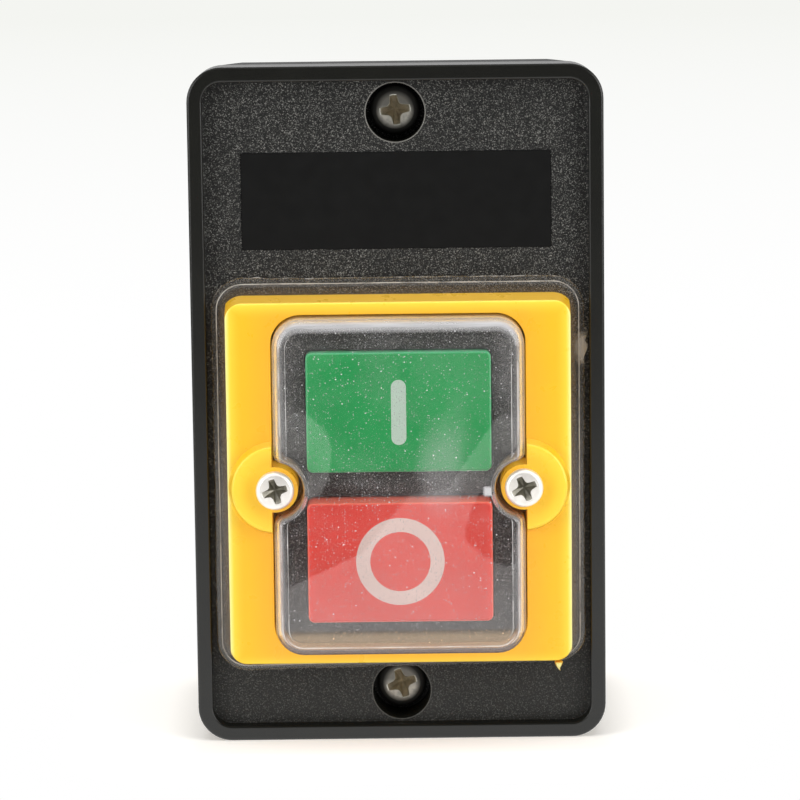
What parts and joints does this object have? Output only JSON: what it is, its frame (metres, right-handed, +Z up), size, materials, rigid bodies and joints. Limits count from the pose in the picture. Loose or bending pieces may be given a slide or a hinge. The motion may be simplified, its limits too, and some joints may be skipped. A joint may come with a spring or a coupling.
{
  "type": "pushbutton switch",
  "caption": "Boxed start and stop pushbutton switch with a clear boot, interlocked latching buttons, cable entries and wall holes.",
  "frame": {"origin": "middle of the bottom, on the surface that the box stands on", "axes": "+Z up, +X to the right as seen from the front, and the buttons face -Y"},
  "size_m": [0.066, 0.05, 0.109],
  "materials": {
    "black_moulding": "fine grained panel and a smooth satin rim",
    "black_plate": "smooth satin",
    "black_rubber": "matt",
    "clear_vinyl": "clear, soft and slightly dusty",
    "yellow_moulding": "smooth, slightly translucent",
    "green_moulding": "smooth satin",
    "red_moulding": "smooth satin",
    "white_moulding": "smooth satin",
    "switch_moulding": "satin",
    "cream_moulding": "satin",
    "plated_steel": "bright plated",
    "spring_steel": "drawn wire and strip",
    "brass": "pressed and tumbled",
    "copper": "pressed strip",
    "silver": "matt contact face"
  },
  "bodies": {
    "enclosure": {"back_box": "black_moulding", "front_cover": "black_moulding", "cable_grommets": "black_rubber", "label_plate": "black_plate", "cover_screws": "plated_steel", "clear_boot": "clear_vinyl", "bezel": "yellow_moulding", "bezel_screws": "plated_steel", "switch_housing": "switch_moulding", "threaded_bushes": "brass", "rocker_pin": "plated_steel", "snap_springs": "spring_steel", "contact_base": "switch_moulding", "base_screws": "plated_steel", "line_terminals": "brass", "load_terminals": "brass", "fixed_tips": "silver", "terminal_screws": "plated_steel", "terminal_clamps": "brass"},
    "stop_key": {"stop_button": "red_moulding", "stop_mark": "white_moulding"},
    "start_key": {"start_button": "green_moulding", "start_mark": "white_moulding"},
    "seesaw": {"rocker": "cream_moulding"},
    "carriage": {"contact_carriage": "cream_moulding", "contact_bridges": "copper", "bridge_tips": "silver", "contact_springs": "spring_steel"}
  },
  "joints": [
    {"name": "stop_press", "type": "slide", "parent": "enclosure", "child": "stop_key", "axis": [0, 1, 0], "range_m": [0, 0.0034]},
    {"name": "start_release", "type": "slide", "parent": "enclosure", "child": "start_key", "axis": [0, -1, 0], "range_m": [0, 0.0034]},
    {"name": "rocker_swing", "type": "hinge", "parent": "enclosure", "child": "seesaw", "pos_m": [0, -0.0035, 0.0422], "axis": [1, 0, 0], "range_deg": [0, 16.5], "deforming": ["snap_springs"]},
    {"name": "contacts_open", "type": "slide", "parent": "enclosure", "child": "carriage", "axis": [0, -1, 0], "range_m": [0, 0.0034]}
  ],
  "couplings": [
    {"joint": "start_release", "follows": "stop_press", "ratio": 1},
    {"joint": "rocker_swing", "follows": "stop_press", "rad_per_m": 84.68},
    {"joint": "contacts_open", "follows": "stop_press", "ratio": 1}
  ]
}
